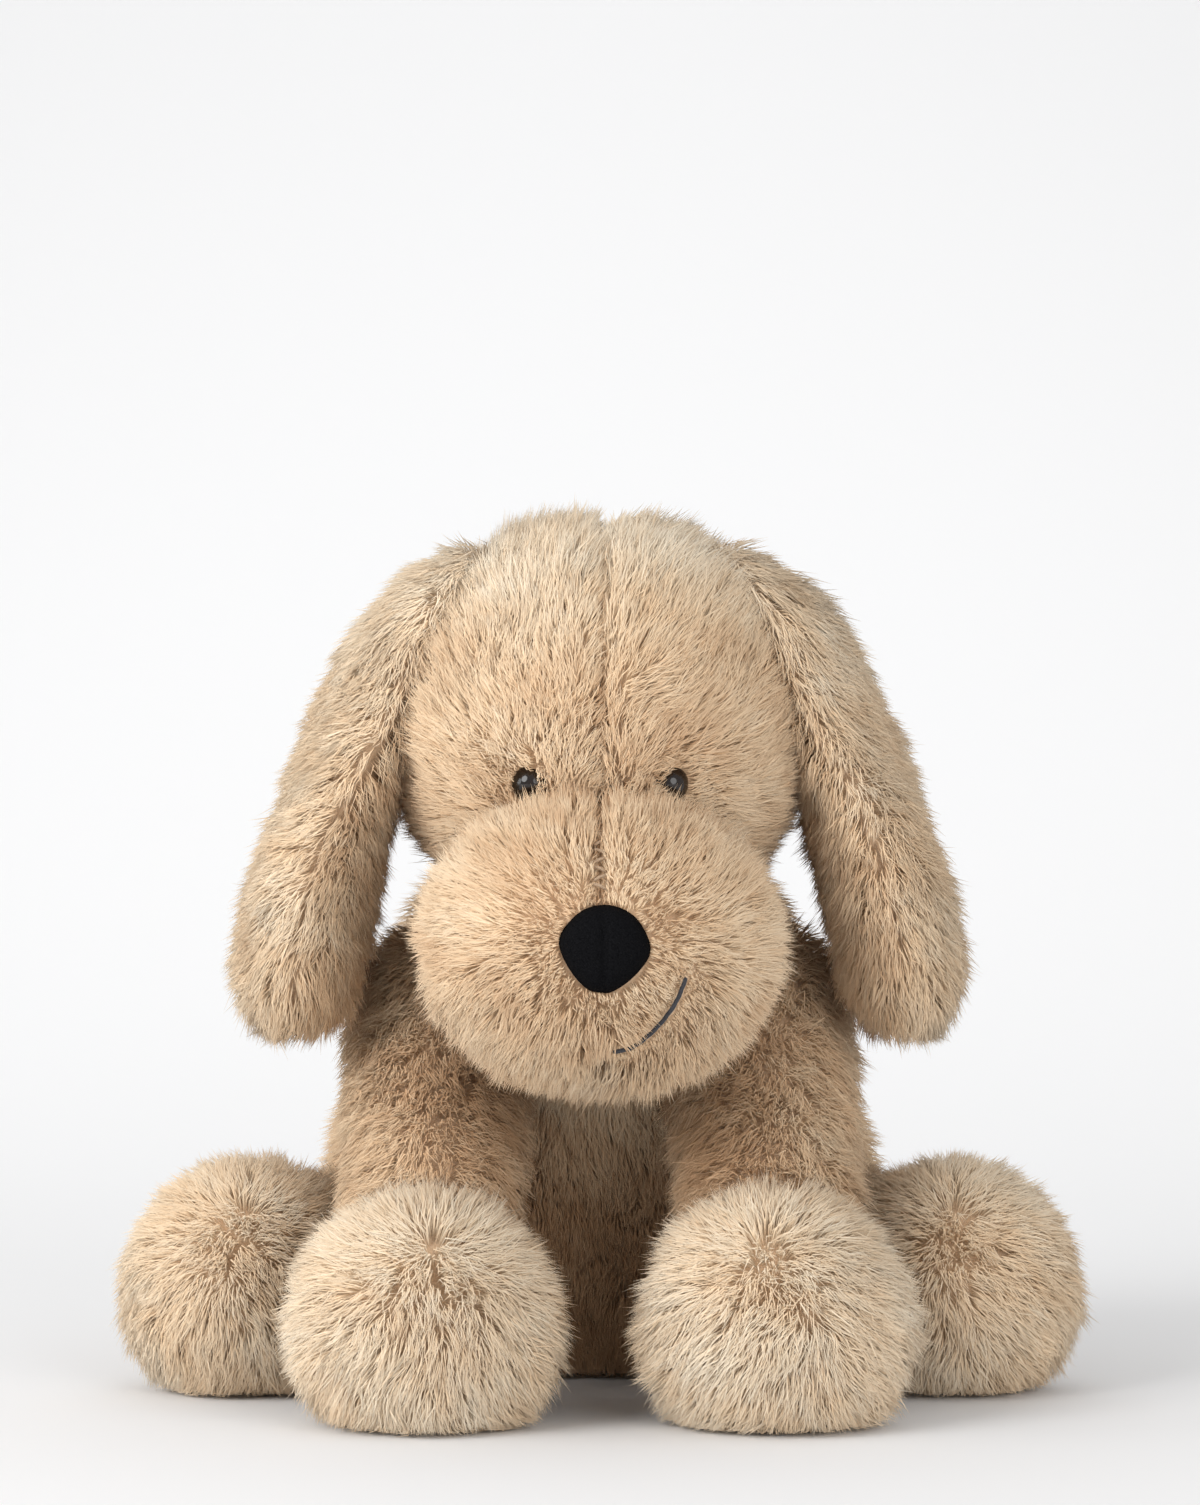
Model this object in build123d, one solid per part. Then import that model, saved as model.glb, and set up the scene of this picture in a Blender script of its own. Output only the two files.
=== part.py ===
from build123d import *
from math import sqrt
import os

os.makedirs("parts", exist_ok=True)

# A sitting plush dog, in millimetres. +Z is up, the dog faces -Y and its own left is +X.
# The origin is the middle of the flat seat, at floor level.
# Every size is the sewn fabric's own, under the pile of the fur.

CLOTH = 1.8  # thickness of the fur fabric's backing
GAP = 0.4  # between a cover and what fills it
SEAM = 0.3  # between the edges of two sewn panels
PLAY = 0.5  # around a rounded limb end in its pocket
FAR = 600.0  # size of a cutting block

# Torso sections: height, middle in Y, half width, half depth
TORSO = (
    (0.0, 12.0, 46.0, 36.0),
    (8.0, 12.0, 62.0, 48.0),
    (30.0, 12.0, 74.0, 57.0),
    (58.0, 9.0, 76.0, 56.0),
    (86.0, 1.0, 67.0, 50.0),
    (112.0, -12.0, 57.0, 43.0),
    (136.0, -26.0, 49.0, 34.0),
    (152.0, -28.0, 29.0, 16.0),
)
SEAT_TOP = 7.0  # height of the seam around the seat panel
CHEST_HALF_WIDTH = 27.0
CHEST_BACK = -10.0  # the chest panel lies in front of this plane

SEAT_BAG_CENTRE = (0.0, 13.0, 15.0)
SEAT_BAG_RADIUS = 39.0
SEAT_BAG_HALF_HEIGHT = 10.5

NECK_CENTRE = (0.0, -58.0, 148.0)
NECK_RADIUS = 22.0
NECK_TOP = 10.0  # the gusset is a band between these heights
NECK_BOTTOM = -12.0  # measured from the neck's centre

SKULL_CENTRE = (0.0, -88.0, 190.0)
SKULL_RADIUS = 52.0
SKULL_SEAM_Y = -82.0  # plane of the seam over the crown, ear to ear

MUZZLE_CENTRE = (0.0, -136.0, 132.0)
MUZZLE_HALF_WIDTH = 42.5
MUZZLE_RADIUS = 35.5

EYE_X = 19.5
EYE_DROP = 15.0  # below the skull's centre
EYE_RADIUS = 5.5
EYE_CLEARANCE = 0.2
STEM_RADIUS = 1.5
STEM_LENGTH = 13.0
STEM_CLEARANCE = 0.15
WASHER_RADIUS = 6.5
WASHER_THICKNESS = 1.4
WASHER_DEPTH = 7.4  # from the eye's centre to the washer's near face

NOSE_Z = 132.0
NOSE_HALF_WIDTH = 12.2
NOSE_RISE = 11.5
NOSE_FALL = 12.0
NOSE_THICKNESS = 3.6
NOSE_SHOULDER = 0.70  # how full the rounded corners are
NOSE_CHEEK = 0.64  # how full the lower corners are across
NOSE_BED = 0.2

THREAD_RADIUS = 0.7
THREAD_LIFT = 1.0
MOUTH = ((3.5, -28.0), (9.0, -26.5), (15.0, -21.5), (20.0, -15.0), (23.0, -8.0))

# Ear sections: height, middle in X, half thickness, half depth in Y
EAR_Y = -90.0
EAR = (
    (228.0, 51.5, 4.5, 12.0),
    (221.0, 53.0, 6.5, 17.0),
    (200.0, 62.5, 7.5, 21.0),
    (172.0, 73.0, 10.0, 24.0),
    (145.0, 80.5, 12.0, 25.0),
    (122.0, 85.0, 11.5, 21.0),
    (111.0, 86.0, 6.0, 12.0),
)
EAR_CLOTH = 1.5

SHOULDER = (46.0, -58.0, 108.0)
SHOULDER_RADIUS = 21.0
WRIST_RADIUS = 18.5
FRONT_PAW = (48.0, -131.0, 26.5)
FRONT_PAW_RADIUS = 31.0

HIP = (68.0, -8.0, 29.0)
HIP_RADIUS = 25.0
ANKLE_RADIUS = 22.0
REAR_PAW = (101.0, -58.0, 29.0)
REAR_PAW_RADIUS = 31.0
HIP_IN = -8.0  # turn of the rear leg about its upright hip axis, degrees
HIP_OUT = 25.0

BEAN_SHARE = 0.62  # height of a paw's bean bag, as a share of the paw's radius

TAIL_ROOT = (0.0, 72.0, 24.0)
TAIL_TIP = (0.0, 103.0, 37.0)
TAIL_ROOT_RADIUS = 11.0
TAIL_TIP_RADIUS = 9.0
TAIL_SLEEVE_DEPTH = 6.6  # how far the sleeve reaches in past the root's centre


def ball(centre, radius, pole=(0.0, 0.0, 1.0)):
    """Solid sphere whose poles lie along a direction."""
    return Plane(origin=centre, z_dir=pole) * Sphere(radius)


def spheroid(centre, half_x, half_y, half_z):
    """Solid egg."""
    return Pos(*centre) * scale(Sphere(1), by=(half_x, half_y, half_z))


def limb(start, end, start_radius, end_radius, grow=0.0):
    """Solid tapered tube with a round end centred on each of two points."""
    low = start_radius + grow
    high = end_radius + grow
    along = Vector(*end) - Vector(*start)
    length = along.length
    lean = (low - high) / length
    shrink = sqrt(1 - lean**2)
    cone_start = low * lean
    cone_end = length + high * lean
    cone = Cone(low * shrink, high * shrink, cone_end - cone_start)
    middle = (cone_start + cone_end) / 2
    body = Sphere(low) + Pos(0, 0, middle) * cone + Pos(0, 0, length) * Sphere(high)
    return Plane(origin=start, z_dir=along.normalized()) * body


def stacked(sections, grow=0.0):
    """Solid lofted through upright stacked ellipses: height, middle X, middle Y, half X, half Y."""
    lowest = min(row[0] for row in sections)
    highest = max(row[0] for row in sections)
    faces = []
    for height, mid_x, mid_y, half_x, half_y in sections:
        if height == lowest:
            height -= grow
        if height == highest:
            height += grow
        faces.append(Pos(mid_x, mid_y, height) * Ellipse(half_x + grow, half_y + grow))
    return loft(faces)


def block(x=(-FAR, FAR), y=(-FAR, FAR), z=(-FAR, FAR)):
    """Solid box between limits, for cutting panels."""
    size = (x[1] - x[0], y[1] - y[0], z[1] - z[0])
    middle = ((x[0] + x[1]) / 2, (y[0] + y[1]) / 2, (z[0] + z[1]) / 2)
    return Pos(*middle) * Box(*size)


def turned(part, centre, angle):
    """The part turned about the upright line through a point."""
    return Pos(*centre) * Rot(0, 0, angle) * Pos(-centre[0], -centre[1], -centre[2]) * part


def other_side(part):
    """The part's mirror image on the dog's right."""
    return mirror(part, about=Plane.YZ)


def save(part, node):
    """One STEP file for one node."""
    export_step(part, f"parts/{node}.step")


def torso_body(grow=0.0):
    """The torso's outside, or the same shape grown or shrunk."""
    rows = [(z, 0.0, mid, half_width, half_depth) for z, mid, half_width, half_depth in TORSO]
    return stacked(rows, grow)


def hip_space():
    """Solids that fill the room the left rear leg sweeps through between its two limits."""
    along = Vector(*REAR_PAW) - Vector(*HIP)
    radius = HIP_RADIUS + PLAY
    reach = along.length
    slab = Pos(reach / 2, 0, 0) * Rectangle(reach, 2 * radius)
    heading = Plane(origin=HIP, x_dir=along.normalized(), z_dir=Vector(0, 0, 1).cross(along.normalized()))
    swept = revolve(heading * slab, Axis(HIP, (0, 0, 1)), revolution_arc=HIP_OUT - HIP_IN)
    leg = limb(HIP, REAR_PAW, HIP_RADIUS, ANKLE_RADIUS, PLAY)
    return [turned(swept, HIP, HIP_IN), turned(leg, HIP, HIP_IN), turned(leg, HIP, HIP_OUT)]


def pockets():
    """Every hollow in the torso that a limb, the neck or the tail sits in."""
    left = [ball(SHOULDER, SHOULDER_RADIUS + PLAY)] + hip_space()
    neck = ball(NECK_CENTRE, NECK_RADIUS + PLAY)
    tail = ball(TAIL_ROOT, TAIL_ROOT_RADIUS + PLAY)
    return left + [other_side(hollow) for hollow in left] + [neck, tail]


def without(part, cutters):
    """The part less each cutter in turn."""
    for cutter in cutters:
        part = part - cutter
    return part


def save_torso():
    """Five sewn panels, the filling and the seat's bean bag."""
    hollows = pockets()
    skin = without(torso_body() - torso_body(-CLOTH), hollows)
    upper = skin & block(z=(SEAT_TOP + SEAM, FAR))
    edge = CHEST_HALF_WIDTH
    chest_zone = block(x=(-edge, edge), y=(-FAR, CHEST_BACK))
    rim_zone = block(x=(-edge - SEAM, edge + SEAM), y=(-FAR, CHEST_BACK + SEAM))
    sides = upper - rim_zone
    save(skin & block(z=(-FAR, SEAT_TOP)), "torso_seat_panel")
    save(upper & chest_zone, "torso_chest_panel")
    save(sides & block(x=(SEAM / 2, FAR)), "torso_side_left")
    save(sides & block(x=(-FAR, -SEAM / 2)), "torso_side_right")
    wide = SEAT_BAG_RADIUS
    high = SEAT_BAG_HALF_HEIGHT
    bag = spheroid(SEAT_BAG_CENTRE, wide, wide, high)
    bag_room = spheroid(SEAT_BAG_CENTRE, wide + GAP, wide + GAP, high + GAP)
    filling = without(torso_body(-CLOTH - GAP), hollows) - bag_room
    save(bag, "seat_bean_bag")
    save(filling, "torso_stuffing")


def save_neck():
    """A ball of filling with a fabric gusset around its middle."""
    inner = NECK_RADIUS - CLOTH
    band = block(z=(NECK_CENTRE[2] + NECK_BOTTOM, NECK_CENTRE[2] + NECK_TOP))
    save((ball(NECK_CENTRE, NECK_RADIUS) - ball(NECK_CENTRE, inner)) & band, "neck_gusset")
    save(ball(NECK_CENTRE, inner - GAP), "neck_stuffing")


def eye_frame():
    """Plane at the left eye's centre whose Z points straight out of the skull."""
    out = Vector(EYE_X, -sqrt(SKULL_RADIUS**2 - EYE_X**2 - EYE_DROP**2), -EYE_DROP)
    return Plane(origin=Vector(*SKULL_CENTRE) + out, z_dir=out.normalized())


def eye_parts(ball_grow=0.0, stem_grow=0.0):
    """Round button with the stem behind it."""
    stem = Pos(0, 0, -STEM_LENGTH / 2) * Cylinder(STEM_RADIUS + stem_grow, STEM_LENGTH)
    return eye_frame() * (Sphere(EYE_RADIUS + ball_grow) + stem)


def eye_washer(grow=0.0):
    """Locking washer on the eye's stem."""
    plate = Cylinder(WASHER_RADIUS + grow, WASHER_THICKNESS + 2 * grow)
    if grow == 0:
        plate = plate - Cylinder(STEM_RADIUS + STEM_CLEARANCE, WASHER_THICKNESS)
    return eye_frame() * (Pos(0, 0, -WASHER_DEPTH - WASHER_THICKNESS / 2) * plate)


def muzzle(grow=0.0):
    """The muzzle's outside, or the same shape grown or shrunk."""
    radius = MUZZLE_RADIUS + grow
    return spheroid(MUZZLE_CENTRE, MUZZLE_HALF_WIDTH + grow, radius, radius)


def on_muzzle(x, rise, lift):
    """Point on the front of the muzzle, a little above its surface."""
    wide = MUZZLE_HALF_WIDTH + lift
    round_radius = MUZZLE_RADIUS + lift
    depth = sqrt((1 - (x / wide) ** 2) * round_radius**2 - rise**2)
    return (x, MUZZLE_CENTRE[1] - depth, MUZZLE_CENTRE[2] + rise)


def save_head():
    """Skull panels, muzzle panels and their fillings."""
    skull = ball(SKULL_CENTRE, SKULL_RADIUS)
    neck_room = ball(NECK_CENTRE, NECK_RADIUS + PLAY)
    eye_rooms = [eye_parts(EYE_CLEARANCE, STEM_CLEARANCE), eye_washer(GAP)]
    rooms = [neck_room] + eye_rooms + [other_side(room) for room in eye_rooms]
    shell = without(skull - ball(SKULL_CENTRE, SKULL_RADIUS - CLOTH), rooms)
    face = shell & block(y=(-FAR, SKULL_SEAM_Y - SEAM))
    save(face & block(x=(SEAM / 2, FAR)), "head_face_left")
    save(face & block(x=(-FAR, -SEAM / 2)), "head_face_right")
    save(shell & block(y=(SKULL_SEAM_Y, FAR)), "head_back_panel")
    filling = ball(SKULL_CENTRE, SKULL_RADIUS - CLOTH - GAP)
    save(without(filling, rooms), "head_stuffing")
    keep_off = [ball(SKULL_CENTRE, SKULL_RADIUS + SEAM)]
    muzzle_skin = without(muzzle() - muzzle(-CLOTH), keep_off)
    save(muzzle_skin & block(x=(SEAM / 2, FAR)), "muzzle_panel_left")
    save(muzzle_skin & block(x=(-FAR, -SEAM / 2)), "muzzle_panel_right")
    save(without(muzzle(-CLOTH - GAP), keep_off), "muzzle_stuffing")


def save_eyes():
    """Two eyes, and the two washers that hold them."""
    left = eye_parts()
    save(left, "eye_left")
    save(other_side(left), "eye_right")
    washer = eye_washer()
    save(Compound(children=[washer, other_side(washer)]), "eye_washers")


def save_nose():
    """Domed fabric pad on the front of the muzzle."""
    corner = NOSE_SHOULDER * NOSE_HALF_WIDTH
    cheek = NOSE_CHEEK * NOSE_HALF_WIDTH
    points = [
        (0, NOSE_RISE),
        (corner, NOSE_RISE * NOSE_SHOULDER),
        (NOSE_HALF_WIDTH, 0),
        (cheek, -NOSE_FALL * NOSE_SHOULDER),
        (0, -NOSE_FALL),
        (-cheek, -NOSE_FALL * NOSE_SHOULDER),
        (-NOSE_HALF_WIDTH, 0),
        (-corner, NOSE_RISE * NOSE_SHOULDER),
    ]
    outline = make_face(Spline(*points, periodic=True))
    facing = Plane(origin=(0, MUZZLE_CENTRE[1], NOSE_Z), x_dir=(1, 0, 0), z_dir=(0, -1, 0))
    post = extrude(facing * outline, FAR)
    save(post & (muzzle(NOSE_THICKNESS) - muzzle(NOSE_BED)), "nose_pad")


def save_mouth():
    """Curved line of thread low on each side of the muzzle."""
    path = Spline(*[on_muzzle(x, rise, THREAD_LIFT) for x, rise in MOUTH])
    thread = sweep(Plane(origin=path @ 0, z_dir=path % 0) * Circle(THREAD_RADIUS), path)
    save(Compound(children=[thread, other_side(thread)]), "mouth_stitching")


def ear_body(grow=0.0):
    """The left ear's outside, or the same shape shrunk."""
    return stacked([(z, x, EAR_Y, thick, deep) for z, x, thick, deep in EAR], grow)


def ear_outward():
    """Cutting solid for the outward half of the left ear."""
    line = [(x, z) for z, x, _, _ in EAR]
    line = [(line[0][0], FAR)] + line + [(line[-1][0], -FAR)]
    outward = Polyline(*line, (FAR, -FAR), (FAR, FAR), close=True)
    return extrude(Plane.XZ * make_face(outward), FAR, both=True)


def save_ear():
    """Outer panel, lining and filling of each ear."""
    shell = ear_body() - ear_body(-EAR_CLOTH)
    outer_zone = ear_outward()
    outer = shell & (Pos(SEAM / 2, 0, 0) * outer_zone)
    lining = shell - (Pos(-SEAM / 2, 0, 0) * outer_zone)
    parts = (("outer", outer), ("lining", lining), ("stuffing", ear_body(-EAR_CLOTH - GAP)))
    for name, part in parts:
        save(part, f"ear_left_{name}")
        save(other_side(part), f"ear_right_{name}")


def save_leg(name, joint, joint_radius, end_radius, paw_centre, paw_radius):
    """Leg tube, paw cover, flat sole, bean bag and filling of one pair of legs."""
    outside = limb(joint, paw_centre, joint_radius, end_radius)
    inside = limb(joint, paw_centre, joint_radius, end_radius, -CLOTH)
    loose = limb(joint, paw_centre, joint_radius, end_radius, -CLOTH - GAP)
    opening = limb(joint, paw_centre, joint_radius, end_radius, SEAM)
    pole = (Vector(*paw_centre) - Vector(*joint)).normalized()
    whole = ball(paw_centre, paw_radius, pole)
    room = ball(paw_centre, paw_radius - CLOTH - GAP, pole)
    tube = (outside - inside) - ball(paw_centre, paw_radius + SEAM, pole)
    paw_shell = whole - ball(paw_centre, paw_radius - CLOTH, pole)
    cover = (paw_shell - opening) & block(z=(CLOTH + SEAM, FAR))
    sole = whole & block(z=(0, CLOTH))
    bag_low = CLOTH + GAP
    bag_high = bag_low + BEAN_SHARE * paw_radius
    bag = room & block(z=(bag_low, bag_high))
    bag_room = ball(paw_centre, paw_radius - CLOTH, pole) & block(z=(0, bag_high + GAP))
    filling = (room & block(z=(bag_high + GAP, FAR))) + (loose - bag_room)
    parts = (
        ("tube", tube),
        ("paw_cover", cover),
        ("paw_sole", sole),
        ("paw_bean_bag", bag),
        ("stuffing", filling),
    )
    for piece, part in parts:
        save(part, f"{name}_left_{piece}")
        save(other_side(part), f"{name}_right_{piece}")


def save_tail():
    """Fabric sleeve and filling of the short tail."""
    outside = limb(TAIL_ROOT, TAIL_TIP, TAIL_ROOT_RADIUS, TAIL_TIP_RADIUS)
    inside = limb(TAIL_ROOT, TAIL_TIP, TAIL_ROOT_RADIUS, TAIL_TIP_RADIUS, -CLOTH)
    filling = limb(TAIL_ROOT, TAIL_TIP, TAIL_ROOT_RADIUS, TAIL_TIP_RADIUS, -CLOTH - GAP)
    sleeve_zone = block(y=(TAIL_ROOT[1] - TAIL_SLEEVE_DEPTH, FAR))
    save((outside - inside) & sleeve_zone, "tail_cover")
    save(filling, "tail_stuffing")


save_torso()
save_neck()
save_head()
save_eyes()
save_nose()
save_mouth()
save_ear()
save_leg("front_leg", SHOULDER, SHOULDER_RADIUS, WRIST_RADIUS, FRONT_PAW, FRONT_PAW_RADIUS)
save_leg("rear_leg", HIP, HIP_RADIUS, ANKLE_RADIUS, REAR_PAW, REAR_PAW_RADIUS)
save_tail()
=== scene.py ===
import bmesh
import bpy
import math
import numpy as np
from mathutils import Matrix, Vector
from mathutils.kdtree import KDTree


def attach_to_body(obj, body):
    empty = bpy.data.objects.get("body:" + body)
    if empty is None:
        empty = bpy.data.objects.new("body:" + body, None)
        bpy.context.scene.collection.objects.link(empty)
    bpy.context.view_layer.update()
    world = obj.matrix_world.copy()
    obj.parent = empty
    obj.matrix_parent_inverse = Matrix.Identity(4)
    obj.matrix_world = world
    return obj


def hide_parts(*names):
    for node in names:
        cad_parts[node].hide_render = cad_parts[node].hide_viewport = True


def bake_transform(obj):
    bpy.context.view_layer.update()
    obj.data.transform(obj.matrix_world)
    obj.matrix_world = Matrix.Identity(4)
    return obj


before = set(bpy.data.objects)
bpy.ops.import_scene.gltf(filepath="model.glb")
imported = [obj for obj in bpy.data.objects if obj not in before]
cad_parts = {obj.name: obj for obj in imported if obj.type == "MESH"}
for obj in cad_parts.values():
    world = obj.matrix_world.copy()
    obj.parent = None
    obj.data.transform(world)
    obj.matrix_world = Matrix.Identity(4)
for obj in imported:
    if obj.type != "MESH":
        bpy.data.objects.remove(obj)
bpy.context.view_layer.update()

# Everything below is in millimetres until a mesh is made. +Z up, -Y the way the dog faces.
MM = 0.001
RNG = np.random.default_rng(20)
STRAND_SHARE = 1.0

# Shapes of the sewn skins, the same as the solids'
TORSO_ROWS = np.array((
    (0.0, 12.0, 46.0, 36.0),
    (8.0, 12.0, 62.0, 48.0),
    (30.0, 12.0, 74.0, 57.0),
    (58.0, 9.0, 76.0, 56.0),
    (86.0, 1.0, 67.0, 50.0),
    (112.0, -12.0, 57.0, 43.0),
    (136.0, -26.0, 49.0, 34.0),
    (152.0, -28.0, 29.0, 16.0),
))
SEAT_TOP = 7.0
CHEST_HALF_WIDTH = 27.0
CHEST_BACK = -10.0
NECK_CENTRE = np.array((0.0, -58.0, 148.0))
NECK_RADIUS = 22.0
SKULL_CENTRE = np.array((0.0, -88.0, 190.0))
SKULL_RADIUS = 52.0
SKULL_SEAM_Y = -82.0
MUZZLE_CENTRE = np.array((0.0, -136.0, 132.0))
MUZZLE_RADII = np.array((42.5, 35.5, 35.5))
EYE_X = 19.5
EYE_DROP = 15.0
EYE_RADIUS = 5.5
NOSE_Z = 132.0
NOSE_SHIFT = 1.2  # the pad is sewn on a little to the dog's left
MOUTH = ((3.5, -28.0), (9.0, -26.5), (15.0, -21.5), (20.0, -15.0), (23.0, -8.0))
EAR_Y = -90.0
EAR_ROWS = np.array((
    (237.0, 36.0, 4.5, 11.0),
    (230.0, 43.5, 8.0, 15.0),
    (220.0, 52.0, 9.0, 18.5),
    (210.0, 57.5, 9.0, 20.0),
    (200.0, 62.0, 8.5, 21.0),
    (172.0, 73.0, 10.0, 24.0),
    (145.0, 80.5, 12.0, 25.0),
    (122.0, 85.0, 11.5, 21.0),
    (111.0, 86.0, 6.0, 12.0),
))
SHOULDER = np.array((46.0, -58.0, 108.0))
FRONT_PAW = np.array((48.0, -131.0, 26.5))
HIP = np.array((68.0, -8.0, 29.0))
REAR_PAW = np.array((101.0, -58.0, 29.0))
SHOULDER_RADIUS = 21.0
WRIST_RADIUS = 18.5
HIP_RADIUS = 25.0
ANKLE_RADIUS = 22.0
PAW_RADIUS = 31.0
TAIL_ROOT = np.array((0.0, 72.0, 24.0))
TAIL_TIP = np.array((0.0, 103.0, 37.0))
CLOTH = 1.4  # thickness of the backing fabric


# ---------------------------------------------------------------- vector helpers

def unit(v):
    """Each row of v at length one."""
    return v / np.maximum(np.linalg.norm(v, axis=-1, keepdims=True), 1e-9)


def tangent(direction, normal):
    """The direction laid flat on the surface with this normal."""
    flat = direction - np.sum(direction * normal, axis=-1, keepdims=True) * normal
    return unit(flat + 1e-6)


def wobble(points, size, seed):
    """Smooth noise between about -1 and 1, with lumps of this size."""
    rng = np.random.default_rng(seed)
    waves = rng.normal(size=(7, 3)) / size * 2.0
    phases = rng.uniform(0, 2 * math.pi, 7)
    return np.sin(points @ waves.T + phases).sum(axis=1) / 3.0


def step(low, high, value):
    """Smooth rise from 0 at low to 1 at high."""
    t = np.clip((value - low) / (high - low), 0.0, 1.0)
    return t * t * (3 - 2 * t)


def spin(vector, axis, angle):
    """Each vector turned about its own unit axis."""
    c = np.cos(angle)[:, None]
    s = np.sin(angle)[:, None]
    along = np.sum(vector * axis, axis=1, keepdims=True) * axis
    return vector * c + np.cross(axis, vector) * s + along * (1 - c)


# ---------------------------------------------------------------- surfaces

class Surface:
    """A quad or triangle surface in millimetres."""

    def __init__(self, points, faces):
        self.points = np.asarray(points, float)
        self.faces = [tuple(face) for face in faces]

    def normals(self):
        """Outward normal at each vertex."""
        total = np.zeros_like(self.points)
        tri = self.triangles()
        p = self.points
        face = np.cross(p[tri[:, 1]] - p[tri[:, 0]], p[tri[:, 2]] - p[tri[:, 0]])
        for corner in range(3):
            np.add.at(total, tri[:, corner], face)
        return unit(total)

    def triangles(self):
        """Corner numbers of the surface cut into triangles."""
        rows = []
        for face in self.faces:
            for i in range(1, len(face) - 1):
                rows.append((face[0], face[i], face[i + 1]))
        return np.array(rows, int)

    def middles(self):
        """Middle of each face."""
        return np.array([self.points[list(face)].mean(axis=0) for face in self.faces])

    def part(self, keep):
        """Only the faces that keep is true for."""
        kept = [face for face, k in zip(self.faces, keep) if k]
        used = sorted({i for face in kept for i in face})
        new = {old: i for i, old in enumerate(used)}
        return Surface(self.points[used], [tuple(new[i] for i in face) for face in kept])

    def moved(self, offset):
        """The surface with an offset along its normals, one number per vertex."""
        return Surface(self.points + self.normals() * np.asarray(offset)[:, None], self.faces)

    def mirrored(self):
        """The same surface on the other side of the dog."""
        return Surface(self.points * (-1, 1, 1), [face[::-1] for face in self.faces])


def rounded_cube(cuts):
    """Unit sphere made of an even grid of quads."""
    bm = bmesh.new()
    bmesh.ops.create_cube(bm, size=2.0)
    bmesh.ops.subdivide_edges(bm, edges=bm.edges[:], cuts=cuts, use_grid_fill=True)
    bm.verts.ensure_lookup_table()
    co = np.array([v.co for v in bm.verts])
    faces = [tuple(v.index for v in f.verts) for f in bm.faces]
    bm.free()
    co = np.tan(co * math.pi / 4)
    return Surface(unit(co), faces)


def rings(rows, cap_low=True, cap_high=True):
    """Surface through rings of points, an array of rings x points x 3."""
    count, around = rows.shape[:2]
    points = list(rows.reshape(-1, 3))
    faces = []
    for i in range(count - 1):
        for j in range(around):
            k = (j + 1) % around
            faces.append((i * around + j, i * around + k, (i + 1) * around + k, (i + 1) * around + j))
    if cap_low:
        points.append(rows[0].mean(axis=0))
        for j in range(around):
            faces.append((len(points) - 1, (j + 1) % around, j))
    if cap_high:
        points.append(rows[-1].mean(axis=0))
        base = (count - 1) * around
        for j in range(around):
            faces.append((len(points) - 1, base + j, base + (j + 1) % around))
    return Surface(points, faces)


def smooth_rows(rows, count):
    """Rows of numbers resampled along a smooth curve through them."""
    n = len(rows)
    padded = np.vstack((2 * rows[0] - rows[1], rows, 2 * rows[-1] - rows[-2]))
    out = []
    for s in np.linspace(0, n - 1, count):
        i = min(int(s), n - 2)
        t = s - i
        a, b, c, d = padded[i:i + 4]
        out.append(0.5 * (2 * b + (c - a) * t + (2 * a - 5 * b + 4 * c - d) * t * t
                          + (3 * b - a - 3 * c + d) * t ** 3))
    return np.array(out)


def upright_stack(rows, count, around, close=5):
    """Rings of ellipses: height, middle X, middle Y, half X, half Y, with rounded ends."""
    dense = smooth_rows(rows, count)
    if dense[0, 0] > dense[-1, 0]:
        dense = dense[::-1]
    turn = np.linspace(0, 2 * math.pi, around, endpoint=False)
    out = []
    low, high = dense[0], dense[-1]
    for i in range(1, close):
        share = i / close
        out.append((low[0], low[1], low[2], low[3] * share, low[4] * share))
    out.extend(tuple(row) for row in dense)
    for i in range(close - 1, 0, -1):
        share = i / close
        bulge = (1 - share ** 2) * 2.0
        out.append((high[0] + bulge, high[1], high[2], high[3] * share, high[4] * share))
    loops = []
    for z, mx, my, hx, hy in out:
        loops.append(np.stack((mx + hx * np.cos(turn), my + hy * np.sin(turn), np.full(around, z)), axis=1))
    return rings(np.array(loops))


def limb(start, end, start_radius, end_radius, around=40, along=30, cap=9):
    """Tapered tube with round ends."""
    axis = end - start
    length = np.linalg.norm(axis)
    axis = axis / length
    side = unit(np.cross(axis, (0.0, 0.0, 1.0)))
    other = np.cross(axis, side)
    turn = np.linspace(0, 2 * math.pi, around, endpoint=False)
    stations = []
    for i in range(1, cap):
        a = math.pi / 2 * (1 - i / cap)
        stations.append((-start_radius * math.sin(a), start_radius * math.cos(a)))
    for t in np.linspace(0, 1, along):
        stations.append((length * t, start_radius + (end_radius - start_radius) * t))
    for i in range(cap - 1, 0, -1):
        a = math.pi / 2 * (1 - i / cap)
        stations.append((length + end_radius * math.sin(a), end_radius * math.cos(a)))
    loops = []
    for s, r in stations:
        ring = side * np.cos(turn)[:, None] * r + other * np.sin(turn)[:, None] * r
        loops.append(start + axis * s + ring)
    return rings(np.array(loops))


# ---------------------------------------------------------------- meshes

def link(obj):
    """Put a new object in the scene."""
    bpy.context.scene.collection.objects.link(obj)
    return obj


def mesh_from(name, points, faces, material):
    """Object from millimetre points and faces."""
    mesh = bpy.data.meshes.new(name)
    mesh.from_pydata((np.asarray(points) * MM).tolist(), [], faces)
    mesh.materials.append(material)
    mesh.shade_smooth()
    return link(bpy.data.objects.new(name, mesh))


def skin(name, surface, material):
    """A closed sheet of fabric that lies just inside a surface."""
    obj = mesh_from(name, surface.points, surface.faces, material)
    sheet = obj.modifiers.new("sheet", "SOLIDIFY")
    sheet.thickness = CLOTH * MM
    sheet.offset = -1
    apply_modifiers(obj)
    return obj


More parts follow.
